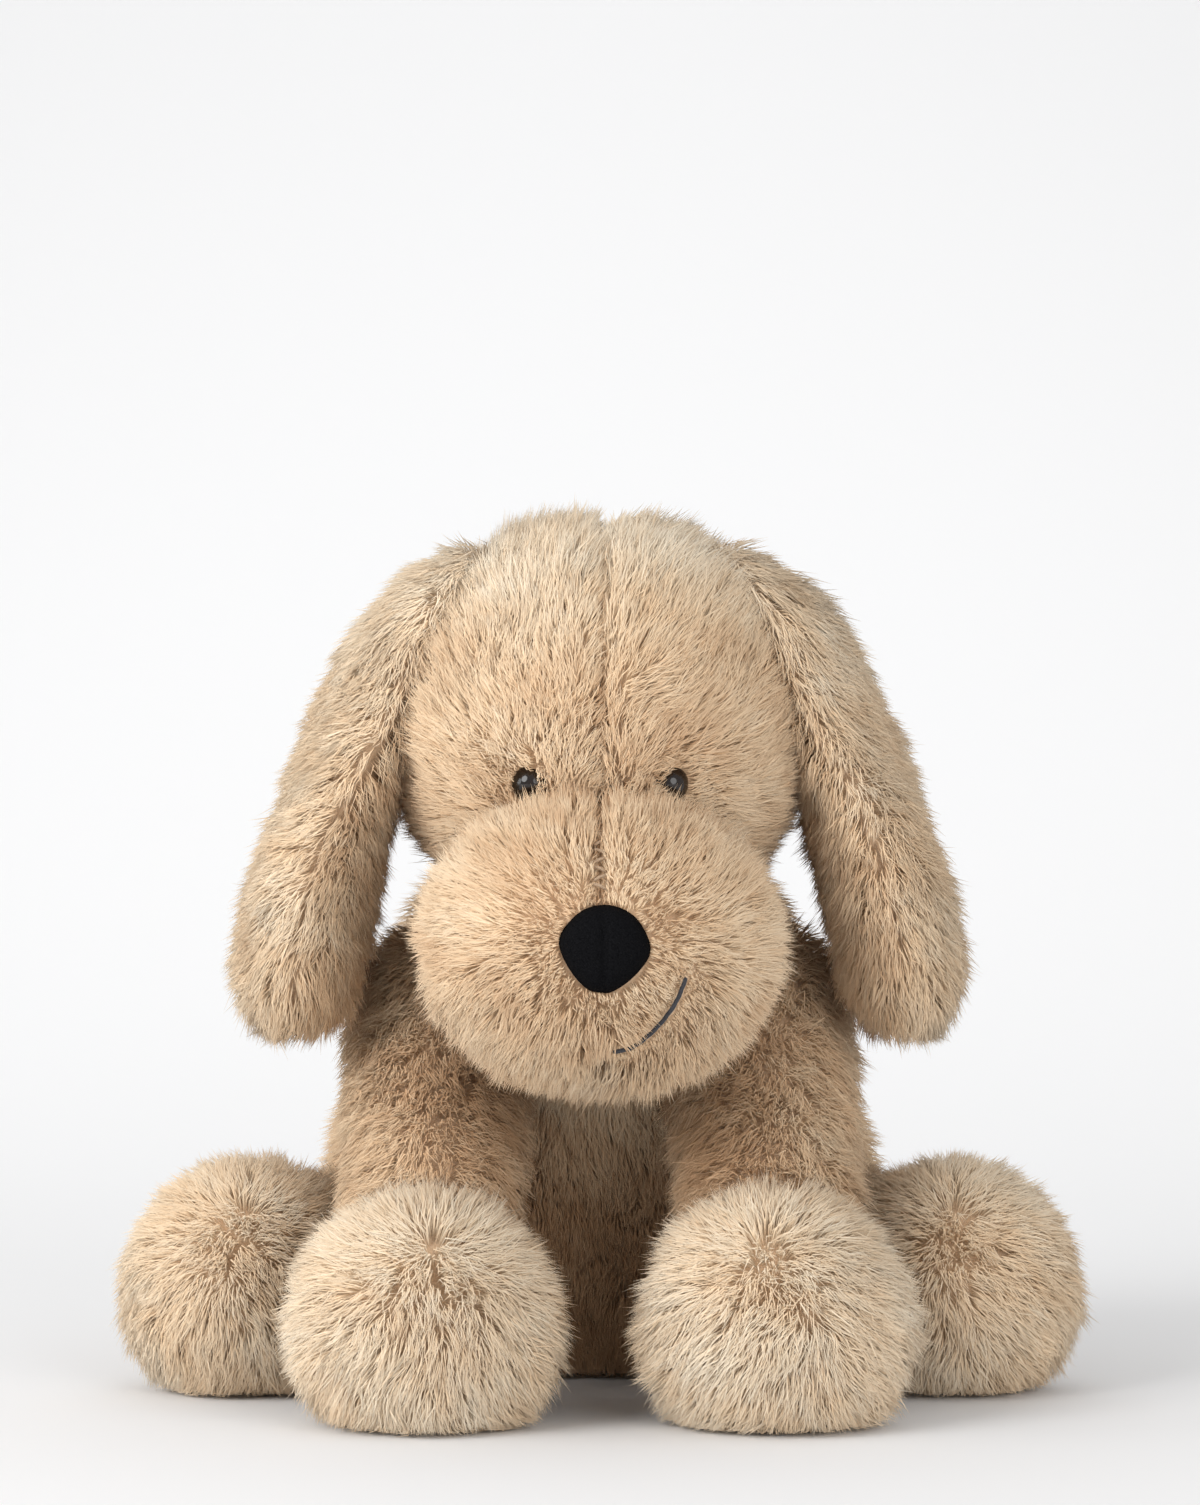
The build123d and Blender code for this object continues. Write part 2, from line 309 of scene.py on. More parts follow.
def apply_modifiers(obj):
    """Make the modifiers' result the object's own mesh."""
    graph = bpy.context.evaluated_depsgraph_get()
    final = bpy.data.meshes.new_from_object(obj.evaluated_get(graph))
    obj.modifiers.clear()
    obj.data = final


# ---------------------------------------------------------------- fur

class Coat:
    """How the fur grows on one part of the dog.

    comb gives the lean, length is in mm, density in strands per square mm, and lift runs from
    0 for lying to 1 for standing. width is a strand's radius in mm and shade its tone from 0 to 1.
    keep says where fur grows at all. clump draws the tips of a tuft together, clump_size is a tuft's
    width in mm, frizz scatters the points of a strand, and swirl turns the lean from tuft to tuft.
    comb, shade and keep are functions of points and normals, and length and lift may be.
    """

    def __init__(self, comb, length=12.0, density=1.6, lift=0.62, width=0.18, shade=None,
                 keep=None, clump=0.40, clump_size=3.4, frizz=0.10, swirl=0.35):
        self.comb = comb
        self.length = length
        self.density = density
        self.lift = lift
        self.width = width
        self.shade = shade
        self.keep = keep
        self.clump = clump
        self.clump_size = clump_size
        self.frizz = frizz
        self.swirl = swirl


ROOT_DEPTH = 0.8  # how far a strand's root lies inside the skin
UV_HALF = 0.015  # half the width of a strand in the shade direction of its UV map
SKIN_SHADING = 0.82  # how far a strand's normals follow the skin under it
STRAND_FACES = ((0, 2, 1), (0, 3, 2), (0, 1, 3), (1, 2, 4), (2, 3, 4), (3, 1, 4))


def roots_on(surface, count):
    """Random points on the surface with their normals."""
    tri = surface.triangles()
    p = surface.points
    n = surface.normals()
    area = np.linalg.norm(np.cross(p[tri[:, 1]] - p[tri[:, 0]], p[tri[:, 2]] - p[tri[:, 0]]), axis=1) / 2
    pick = RNG.choice(len(tri), size=count, p=area / area.sum())
    u = np.sqrt(RNG.random(count))[:, None]
    v = RNG.random(count)[:, None]
    a, b, c = tri[pick].T
    mix = (1 - u, u * (1 - v), u * v)
    point = mix[0] * p[a] + mix[1] * p[b] + mix[2] * p[c]
    normal = unit(mix[0] * n[a] + mix[1] * n[b] + mix[2] * n[c])
    return point, normal


def surface_area(surface):
    """Area in square millimetres."""
    tri = surface.triangles()
    p = surface.points
    cross = np.cross(p[tri[:, 1]] - p[tri[:, 0]], p[tri[:, 2]] - p[tri[:, 0]])
    return np.linalg.norm(cross, axis=1).sum() / 2


def nearest_clump(roots, spacing):
    """For each root, the number of the root its tuft gathers around."""
    count = max(1, int(len(roots) / spacing))
    centres = RNG.choice(len(roots), size=count, replace=False)
    tree = KDTree(count)
    for i, c in enumerate(centres):
        tree.insert(roots[c], i)
    tree.balance()
    return np.array([centres[tree.find(root)[1]] for root in roots])


def strand_combs(coat, root, normal, centre):
    """Direction that each strand leans in, along the surface."""
    comb = tangent(coat.comb(root, normal), normal)
    turn = wobble(root, 22.0, 5) * coat.swirl + wobble(root, 8.0, 6) * coat.swirl * 0.6
    turn = turn + RNG.normal(0, 0.20, len(root)) + RNG.normal(0, coat.swirl * 0.35, len(root))[centre]
    return spin(comb, normal, turn)


def strand_sizes(coat, root, normal, centre):
    """Length of each strand, and how upright it stands from 0 to 1."""
    count = len(root)
    length = coat.length(root, normal) if callable(coat.length) else np.full(count, coat.length)
    length = length * (1 + 0.08 * wobble(root, 9.0, 7)) * RNG.uniform(0.74, 1.10, count)
    length = length * RNG.uniform(0.90, 1.08, count)[centre]
    lift = coat.lift(root, normal) if callable(coat.lift) else coat.lift
    lift = lift + 0.10 * wobble(root, 10.0, 8) + RNG.normal(0, 0.07, count)
    return length, np.clip(lift + RNG.normal(0, 0.05, count)[centre], 0.12, 1.0)


def strand_shades(coat, root, normal, centre):
    """Tone of each strand, from 0 for dark to 1 for light."""
    count = len(root)
    shade = coat.shade(root, normal) if coat.shade else np.full(count, 0.5)
    shade = shade + 0.09 * wobble(root, 14.0, 9) + 0.06 * wobble(root, 4.0, 10)
    shade = shade + RNG.normal(0, 0.08, count) + 0.03 * RNG.normal(0, 1, count)[centre]
    return np.clip(shade, 0.03, 0.97)


def strand_paths(surface, coat):
    """Points along every strand, with its surface normal and shade."""
    count = int(surface_area(surface) * coat.density * STRAND_SHARE)
    root, normal = roots_on(surface, count)
    if coat.keep is not None:
        ok = coat.keep(root, normal)
        root, normal = root[ok], normal[ok]
    count = len(root)
    per_clump = coat.density * STRAND_SHARE * coat.clump_size ** 2
    centre = nearest_clump(root, max(2.0, per_clump))
    comb = strand_combs(coat, root, normal, centre)
    length, lift = strand_sizes(coat, root, normal, centre)
    up = normal * (length * np.sin(lift * math.pi / 2))[:, None]
    over = comb * (length * np.cos(lift * math.pi / 2))[:, None]
    mid = up * 0.60 + over * 0.34
    tip = up * 0.98 + over * 1.0
    gather = coat.clump * RNG.uniform(0.5, 1.0, count)[:, None]
    goal = root[centre] + tip[centre]
    tip_point = (root + tip) * (1 - gather) + goal * gather
    mid_goal = root[centre] + mid[centre]
    mid_point = (root + mid) * (1 - gather * 0.45) + mid_goal * gather * 0.45
    scatter = length[:, None] * coat.frizz
    tip_point += RNG.normal(0, 1, (count, 3)) * scatter * 0.7
    mid_point += RNG.normal(0, 1, (count, 3)) * scatter * 0.45
    start = root - normal * ROOT_DEPTH
    path = np.stack((start, mid_point, tip_point), axis=1)
    floor = 0.5 + RNG.random(count)[:, None] * 1.6
    path[:, :, 2] = np.maximum(path[:, :, 2], floor)
    return path, normal, strand_shades(coat, root, normal, centre)


def strand_points(path, normal, shade, width):
    """Points, normals and UVs of every strand: root, three around the middle, tip."""
    count = len(path)
    along = unit(path[:, -1] - path[:, 0])
    side = unit(np.cross(along, normal) + 1e-6)
    side = spin(side, along, RNG.uniform(-0.7, 0.7, count))
    other = np.cross(along, side)
    radius = (width * RNG.uniform(0.75, 1.25, count))[:, None]
    points = [path[:, 0]]
    normals = [normal]
    uv = [(shade, np.full(count, 0.02))]
    for turn, shift, rise in ((90, -UV_HALF, 0.48), (210, UV_HALF, 0.48), (330, 0.0, 0.53)):
        angle = math.radians(turn)
        out = side * math.cos(angle) + other * math.sin(angle)
        points.append(path[:, 1] + out * radius)
        normals.append(unit(out * (1 - SKIN_SHADING) + normal * SKIN_SHADING))
        uv.append((shade + shift, np.full(count, rise)))
    points.append(path[:, 2])
    normals.append(unit(along * 0.3 + normal * 0.7))
    uv.append((shade, np.full(count, 0.98)))
    return np.stack(points, axis=1), np.stack(normals, axis=1), np.array(uv).transpose(2, 0, 1)


def strand_mesh(name, path, normal, shade, width, material):
    """One mesh of thin closed strands, pointed at both ends."""
    points, normals, uv = strand_points(path, normal, shade, width)
    count, per = points.shape[:2]
    faces = (np.array(STRAND_FACES)[None] + np.arange(count)[:, None, None] * per).reshape(-1, 3)
    mesh = bpy.data.meshes.new(name)
    mesh.vertices.add(count * per)
    mesh.vertices.foreach_set("co", (points * MM).astype(np.float32).ravel())
    mesh.loops.add(len(faces) * 3)
    mesh.loops.foreach_set("vertex_index", faces.astype(np.int32).ravel())
    mesh.polygons.add(len(faces))
    mesh.polygons.foreach_set("loop_start", np.arange(0, len(faces) * 3, 3, dtype=np.int32))
    layer = mesh.uv_layers.new(name="OFBake")
    layer.data.foreach_set("uv", uv.reshape(-1, 2)[faces.ravel()].astype(np.float32).ravel())
    mesh.update(calc_edges=True)
    mesh.shade_smooth()
    mesh.normals_split_custom_set_from_vertices(normals.reshape(-1, 3).astype(np.float32))
    mesh.materials.append(material)
    return link(bpy.data.objects.new(name, mesh))


def fur(name, surface, coat):
    """Fur object for one sewn panel."""
    path, normal, shade = strand_paths(surface, coat)
    return strand_mesh(name, path, normal, shade, coat.width, FUR)


# ---------------------------------------------------------------- materials

def new_material(name, roughness, sheen=0.0):
    """Principled material with its node tree and shader node."""
    material = bpy.data.materials.new(name)
    material.use_nodes = True
    shader = material.node_tree.nodes["Principled BSDF"]
    shader.inputs["Roughness"].default_value = roughness
    shader.inputs["Sheen Weight"].default_value = sheen
    return material, material.node_tree, shader


def ramp(tree, source, stops):
    """Colour ramp from (position, colour) stops."""
    node = tree.nodes.new("ShaderNodeValToRGB")
    while len(node.color_ramp.elements) < len(stops):
        node.color_ramp.elements.new(0.5)
    for element, (position, colour) in zip(node.color_ramp.elements, stops):
        element.position = position
        element.color = (*colour, 1)
    tree.links.new(source, node.inputs["Fac"])
    return node.outputs["Color"]


def fur_material():
    """Strand colour from its own shade and the distance from root to tip, darker towards the root as
    painted shade deep in the pile.
    """
    material, tree, shader = new_material("fur", 0.85, 0.04)
    uv = tree.nodes.new("ShaderNodeUVMap")
    uv.uv_map = "OFBake"
    split = tree.nodes.new("ShaderNodeSeparateXYZ")
    tree.links.new(uv.outputs["UV"], split.inputs["Vector"])
    tone = ramp(tree, split.outputs["X"], (
        (0.0, (0.56, 0.34, 0.185)),
        (0.25, (0.76, 0.52, 0.32)),
        (0.5, (0.90, 0.68, 0.455)),
        (0.75, (0.95, 0.77, 0.56)),
        (1.0, (0.98, 0.87, 0.70)),
    ))
    # painted shade: each strand darkens towards its root, deep in the pile
    depth = ramp(tree, split.outputs["Y"], (
        (0.0, (0.74, 0.60, 0.47)),
        (0.35, (0.90, 0.83, 0.75)),
        (0.7, (0.98, 0.965, 0.945)),
        (1.0, (1.0, 1.0, 1.0)),
    ))
    mix = tree.nodes.new("ShaderNodeMix")
    mix.data_type = "RGBA"
    mix.blend_type = "MULTIPLY"
    mix.inputs["Factor"].default_value = 1.0
    tree.links.new(tone, mix.inputs["A"])
    tree.links.new(depth, mix.inputs["B"])
    tree.links.new(mix.outputs["Result"], shader.inputs["Base Color"])
    return material


def cloth_material(name, dark, light, scale, roughness=0.9, bump=0.25, sheen=0.2):
    """Woven or fibrous fabric: noise in colour and relief."""
    material, tree, shader = new_material(name, roughness, sheen)
    where = tree.nodes.new("ShaderNodeTexCoord")
    noise = tree.nodes.new("ShaderNodeTexNoise")
    noise.inputs["Scale"].default_value = scale
    noise.inputs["Detail"].default_value = 6
    tree.links.new(where.outputs["Object"], noise.inputs["Vector"])
    colour = ramp(tree, noise.outputs["Fac"], ((0.3, dark), (0.7, light)))
    tree.links.new(colour, shader.inputs["Base Color"])
    relief = tree.nodes.new("ShaderNodeBump")
    relief.inputs["Strength"].default_value = bump
    relief.inputs["Distance"].default_value = 0.0006
    tree.links.new(noise.outputs["Fac"], relief.inputs["Height"])
    tree.links.new(relief.outputs["Normal"], shader.inputs["Normal"])
    return material


FUR = fur_material()
# the backing's fabric colour, kept darker than the fur as painted shade in the gaps between strands
BACKING = cloth_material("fur_backing", (0.52, 0.35, 0.215), (0.66, 0.47, 0.31), 900)
VELVET = cloth_material("nose_velvet", (0.0025, 0.0025, 0.003), (0.009, 0.009, 0.010), 2600,
                        1.0, 0.5, 0.0)
VELVET.node_tree.nodes["Principled BSDF"].inputs["Specular IOR Level"].default_value = 0.02
THREAD = cloth_material("mouth_thread", (0.012, 0.012, 0.016), (0.034, 0.035, 0.044), 3000, 0.7, 0.4)
SEAM_THREAD = cloth_material("seam_thread", (0.30, 0.20, 0.12), (0.50, 0.36, 0.24), 3000, 0.8, 0.4)
FIBRE = cloth_material("stuffing_fibre", (0.72, 0.71, 0.68), (0.90, 0.89, 0.87), 500, 0.95, 0.8)
BAG_CLOTH = cloth_material("bean_bag_cloth", (0.62, 0.58, 0.50), (0.80, 0.77, 0.70), 1400, 0.9, 0.5)
EYE_PLASTIC = cloth_material("eye_plastic", (0.006, 0.004, 0.003), (0.020, 0.011, 0.007), 160,
                             0.08, 0.0, 0.0)
WASHER_PLASTIC = cloth_material("washer_plastic", (0.70, 0.70, 0.68), (0.80, 0.80, 0.78), 300, 0.45, 0.1)


# ---------------------------------------------------------------- the sewn surfaces

def torso_surface():
    """Pear-shaped torso with a flat seat."""
    rows = np.array([(z, 0.0, y, hx, hy) for z, y, hx, hy in TORSO_ROWS])
    return upright_stack(rows, 46, 96, close=6)


def skull_surface():
    """Round skull with a valley along the centre seam."""
    ball = rounded_cube(30)
    p = ball.points
    front = step(0.1, -0.35, p[:, 1])
    valley = np.exp(-(p[:, 0] / 0.055) ** 2) * front * 2.6
    seam = np.exp(-((p[:, 1] * SKULL_RADIUS - (SKULL_SEAM_Y - SKULL_CENTRE[1])) / 3.0) ** 2)
    crown = seam * step(0.1, 0.7, p[:, 2])
    lobes = np.exp(-((np.abs(p[:, 0]) - 0.34) / 0.22) ** 2) * step(0.5, 0.95, p[:, 2])
    radius = SKULL_RADIUS - valley - crown * 2.2 + lobes * 1.6
    return Surface(SKULL_CENTRE + p * radius[:, None], ball.faces)


def muzzle_surface():
    """Round muzzle with a valley along the centre seam."""
    ball = rounded_cube(28)
    p = ball.points
    above = step(-0.2, 0.3, p[:, 2])
    valley = np.exp(-(p[:, 0] / 0.06) ** 2) * step(0.3, -0.2, p[:, 1]) * (0.6 + 1.6 * above)
    shape = p * MUZZLE_RADII
    shape = shape - unit(shape) * valley[:, None]
    return Surface(MUZZLE_CENTRE + shape, ball.faces)


EAR_WRAP = 20.0  # how far the ear's upper part wraps round the face, in degrees


def ear_surface():
    """Left ear: a padded leaf, wrapped a little around the skull at the top."""
    rows = np.array([(z, x, EAR_Y, hx, hy) for z, x, hx, hy in EAR_ROWS])
    leaf = upright_stack(rows, 40, 56, close=5)
    z = leaf.points[:, 2]
    turn = np.radians(EAR_WRAP * step(150, 205, z))
    across = leaf.points[:, 0] - ear_middle_x(z)
    along = leaf.points[:, 1] - EAR_Y
    leaf.points[:, 0] = ear_middle_x(z) + across * np.cos(turn) + along * np.sin(turn)
    leaf.points[:, 1] = EAR_Y - across * np.sin(turn) + along * np.cos(turn)
    return leaf


def ear_middle_x(z):
    """Where the ear's middle plane stands at this height."""
    order = np.argsort(EAR_ROWS[:, 0])
    return np.interp(z, EAR_ROWS[order, 0], EAR_ROWS[order, 1])


def paw_surface(centre, radius):
    """Round paw with a flat sole."""
    ball = rounded_cube(24)
    points = centre + ball.points * radius
    points[:, 2] = np.maximum(points[:, 2], 0.6)
    return Surface(points, ball.faces)


def away_from(surface, centre, radius):
    """The faces of a surface that stay outside a ball."""
    return surface.part(np.linalg.norm(surface.middles() - centre, axis=1) > radius)


# ---------------------------------------------------------------- which way the fur lies

def steady(*direction):
    """Fur combed one way."""
    way = np.array(direction, float)
    return lambda p, n: np.broadcast_to(way, p.shape)


def from_point(centre, drop=0.0):
    """Fur that spreads out from a parting point."""
    middle = np.asarray(centre, float)
    return lambda p, n: unit(p - middle) + np.array((0.0, 0.0, -drop))


def standing_near(centre):
    """Fur that stands up at a parting point and lies flatter away from it."""
    middle = np.asarray(centre, float)
    return lambda p, n: 0.66 - 0.14 * step(4.0, 34.0, np.linalg.norm(p - middle, axis=1))


def muzzle_lift(p, n):
    """Standing around the nose, flatter at the sides."""
    return 0.86 - 0.20 * step(16.0, 40.0, np.linalg.norm(p - NOSE_POINT, axis=1))


def face_comb(p, n):
    """Up the forehead and over the crown, leaning to the dog's left."""
    lean = np.radians(22 + 0.62 * p[:, 0])
    way = np.stack((np.sin(lean), np.full(len(p), 0.35), np.cos(lean)), axis=1)
    below = step(158, 140, p[:, 2])[:, None]
    return way * (1 - below) + np.array((0.0, 0.2, -1.0)) * below


def back_head_comb(p, n):
    """Back over the crown, then down the nape."""
    return np.stack((p[:, 0] * 0.01, np.full(len(p), 0.5), -np.ones(len(p)) * 0.8), axis=1)


NOSE_POINT = np.array((1.0, -170.0, 134.0))


def muzzle_comb(p, n):
    """Outward from the nose, and a little down."""
    return unit(p - NOSE_POINT) + np.array((0.0, 0.15, -0.25))


def muzzle_path(x, rise, lift):
    """Point on the front of the muzzle, a little above its skin."""
    wide = MUZZLE_RADII[0] + lift
    tall = MUZZLE_RADII[1] + lift
    depth = math.sqrt(max((1 - (x / wide) ** 2) * tall ** 2 - rise ** 2, 0))
    return np.array((x, MUZZLE_CENTRE[1] - depth, MUZZLE_CENTRE[2] + rise))


MOUTH_LINE = smooth_rows(np.array([muzzle_path(x, rise, 0) for x, rise in MOUTH]), 24)


def distance_to(points, line):
    """Distance of each point to the nearest of a line's points."""
    return np.min(np.linalg.norm(points[:, None, :] - line[None], axis=2), axis=1)


def eye_centre(side):
    """Middle of one eye."""
    depth = math.sqrt(SKULL_RADIUS ** 2 - EYE_X ** 2 - EYE_DROP ** 2)
    return SKULL_CENTRE + np.array((side * EYE_X, -depth, -EYE_DROP))


EYES = np.array([eye_centre(1), eye_centre(-1)])
EYE_SINK = 2.0  # how far the buttons are drawn into the pile
EYE_PARTING = 4.0  # bare radius around an eye's middle
EYE_SLIT = np.array((1.15, 1.0, 0.8))  # the bare patch is taller than wide


def muzzle_length(p, n):
    """Short around the nose, at the mouth line and in the centre seam, long at the sides."""
    nose = np.linalg.norm((p - NOSE_POINT) * (1, 0.6, 1), axis=1)
    length = 5.0 + 6.0 * step(12, 26, nose)
    mouth = distance_to(p, MOUTH_LINE)
    seam = np.where(p[:, 2] > NOSE_Z, np.abs(p[:, 0]), 9.0)
    return length * (0.16 + 0.84 * step(2.5, 9.0, mouth)) * (0.35 + 0.65 * step(0.4, 4.5, seam))


def muzzle_keep(p, n):
    """No fur inside the skull, under the nose pad or on the mouth line."""
    inside = np.linalg.norm(p - SKULL_CENTRE, axis=1) < SKULL_RADIUS - 1
    flat = (p - np.array((NOSE_SHIFT, 0, NOSE_Z)))[:, (0, 2)] / (12.0, 11.5)
    nose = (np.linalg.norm(flat, axis=1) < 0.96) & (p[:, 1] < MUZZLE_CENTRE[1])
    seam = (np.abs(p[:, 0]) < 0.5) & (p[:, 2] > NOSE_Z)
    return ~(inside | nose | seam) & (distance_to(p, MOUTH_LINE) > 0.9)


def face_length(p, n):
    """Short beside the eyes and in the centre seam, long on the crown."""
    eye = distance_to(p, EYES)
    crown = 2.6 * step(218, 236, p[:, 2])
    seam = 0.42 + 0.58 * step(0.4, 4.5, np.abs(p[:, 0]))
    return (11.5 + crown) * (0.50 + 0.50 * step(3.5, 12.0, eye)) * seam


def face_tone_and_painted_light(p, n):
    """Painted shade in the centre seam's crease and at the cheeks under the ears, painted highlight on the
    crown.
    """
    # the seam's crease and the cheeks get painted shade, the crown a painted highlight, over the face's
    # tone
    seam = step(4.0, 0.5, np.abs(p[:, 0]))
    cheek = step(30, 46, np.abs(p[:, 0]))
    crown = step(205, 235, p[:, 2])
    return 0.47 - 0.20 * seam - 0.08 * cheek + 0.34 * crown


def muzzle_tone_and_painted_shade(p, n):
    """Painted shade on top, where most light falls, and in the centre seam's crease."""
    # painted shade on top and in the seam's crease, over the muzzle's tone
    seam = np.where(p[:, 2] > NOSE_Z, step(3.5, 0.5, np.abs(p[:, 0])), 0.0)
    top = step(10.0, 40.0, p[:, 2] - NOSE_Z)
    return 0.46 - 0.20 * seam - 0.08 * top


def face_keep(p, n):
    """No fur under the eyes or inside the muzzle."""
    inside = np.linalg.norm((p - MUZZLE_CENTRE) / (MUZZLE_RADII - 2.0), axis=1) < 1
    neck = np.linalg.norm(p - NECK_CENTRE, axis=1) < NECK_RADIUS - 1
    bare = distance_to(p * EYE_SLIT, EYES * EYE_SLIT) < EYE_PARTING
    seam = (np.abs(p[:, 0]) < 0.4) & (p[:, 1] < SKULL_SEAM_Y)
    return ~(bare | seam | inside | neck)


def arm_tone_and_painted_shade(p, n):
    """Painted shade on the inner side, under the muzzle."""
    painted_inner_shade = step(0.5, -0.4, n[:, 0] * np.sign(p[:, 0]))
    return 0.34 - 0.22 * painted_inner_shade * step(40.0, 75.0, p[:, 2])


def chest_length(p, n):
    """Fullest on the upper chest."""
    return 11.0 + 5.0 * step(50.0, 85.0, p[:, 2])


def chest_painted_light(p, n):
    """Painted highlight under the muzzle, painted shade low between the paws."""
    return 0.58 * step(48, 90, p[:, 2])


def even(value):
    """The same shade all over a panel."""
    return lambda p, n: np.full(len(p), value)


# ---------------------------------------------------------------- building the pieces

def attach(obj, body, blend=None):
    """Fix an object to a body; with a blend given, only bake its placement into its mesh."""
    if blend is None:
        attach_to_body(obj, body)
        return
    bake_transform(obj)


def ear_bend(sign):
    """Where an ear starts and ends to bend: the root stays with the head."""
    return ("head", (sign * 52.0, -90.0, 226.0), (sign * 60.0, -90.0, 200.0))


def leg_bend(joint, paw, radius, sign):
    """Where a leg starts and ends to bend, around its joint."""
    along = unit(paw - joint)
    flip = np.array((sign, 1, 1))
    return ("torso", (joint - along * radius * 0.3) * flip, (joint + along * radius * 1.3) * flip)


def piece_pair(name, surface, coat, body, blend=None):
    """Backing and fur of the sewn panel of this name, on a body, or with its placement baked in when a
    blend is given.
    """
    backing = skin(name + "_backing", surface, BACKING)
    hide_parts(name)
    made = [backing]
    if coat is not None:
        made.append(fur(name + "_fur", surface, coat))
    for obj in made:
        attach(obj, body, blend)


def build_torso():
    """Seat, chest and two side panels."""
    whole = torso_surface()
    mid = whole.middles()
    seat = mid[:, 2] < SEAT_TOP
    chest = ~seat & (np.abs(mid[:, 0]) < CHEST_HALF_WIDTH) & (mid[:, 1] < CHEST_BACK)
    side = ~seat & ~chest
    base = Coat(steady(0, 0.1, -1), 12.0, 1.05, shade=even(0.45))
    chest_coat = Coat(steady(0, 0, -1), chest_length, 2.4, lift=0.62, swirl=0.25, clump=0.5,
                      shade=chest_painted_light)
    seat_coat = Coat(from_point((0, 12, 20)), 6.0, 0.5, lift=0.15)
    piece_pair("torso_seat_panel", whole.part(seat), seat_coat, "torso")
    piece_pair("torso_chest_panel", whole.part(chest), chest_coat, "torso")
    piece_pair("torso_side_left", whole.part(side & (mid[:, 0] >= 0)), base, "torso")
    piece_pair("torso_side_right", whole.part(side & (mid[:, 0] < 0)), base, "torso")


NECK_LOW = -20.0  # the neck's fabric runs between these heights from its middle
NECK_HIGH = 10.0


def build_neck():
    """Fabric band between torso and head."""
    ball = rounded_cube(12)
    band = Surface(NECK_CENTRE + ball.points * NECK_RADIUS, ball.faces)
    height = band.middles()[:, 2] - NECK_CENTRE[2]
    band = band.part((height > NECK_LOW) & (height < NECK_HIGH))
    piece_pair("neck_gusset", band, Coat(steady(0, 0, -1), 11.0, 1.0), "neck")


def build_head():
    """Two face panels, the back of the head and two muzzle panels."""
    skull = skull_surface()
    mid = skull.middles()
    front = mid[:, 1] < SKULL_SEAM_Y
    face = dict(length=face_length, density=2.8, lift=0.60, keep=face_keep, shade=face_tone_and_painted_light)
    on_left = mid[:, 0] > 0
    for name, part in (("head_face_left", front & on_left), ("head_face_right", front & ~on_left)):
        piece_pair(name, skull.part(part), Coat(face_comb, **face), "head")
    back = Coat(back_head_comb, face_length, 1.7, keep=face_keep, shade=even(0.52))
    piece_pair("head_back_panel", skull.part(~front), back, "head")
    muzzle = muzzle_surface()
    mid = muzzle.middles()
    coat = Coat(muzzle_comb, muzzle_length, 2.9, muzzle_lift, swirl=0.45, keep=muzzle_keep,
                shade=muzzle_tone_and_painted_shade)
    on_left = mid[:, 0] > 0
    for name, part in (("muzzle_panel_left", on_left), ("muzzle_panel_right", ~on_left)):
        piece_pair(name, muzzle.part(part), coat, "head")


def ear_lift(p, n):
    """Flat at the root, where the fur covers the seam to the crown."""
    return 0.53 - 0.20 * step(205.0, 228.0, p[:, 2])


def ear_tone_and_painted_light(p, n):
    """Painted highlight at the root, painted shade on the side that faces the skull."""
    painted_inner_shade = step(0.2, -0.6, n[:, 0] * np.sign(p[:, 0]))
    return 0.57 + 0.17 * step(195.0, 228.0, p[:, 2]) - 0.16 * painted_inner_shade


def build_ears():
    """Outer panel and lining of each ear."""
    leaf = ear_surface()
    mid = leaf.middles()
    turn = np.radians(EAR_WRAP * step(150, 205, mid[:, 2]))
    across = mid[:, 0] - ear_middle_x(mid[:, 2])
    outer = across * np.cos(turn) - (mid[:, 1] - EAR_Y) * np.sin(turn) > 0
    for side, flip in (("left", False), ("right", True)):
        sign = -1 if flip else 1
        for name, mask in (("outer", outer), ("lining", ~outer)):
            panel = leaf.part(mask)
            panel = panel.mirrored() if flip else panel
            coat = Coat(steady(sign * 0.25, -0.05, -1), 11.2, 2.4, ear_lift, swirl=0.28, shade=ear_tone_and_painted_light)
            piece_pair(f"ear_{side}_{name}", panel, coat, f"{side}_ear", ear_bend(sign))


SLEEVE_DEPTH = 1.5  # how far a leg's sleeve reaches into the paw
SOLE_TOP = 2.0  # faces of the paw below this height are its sole


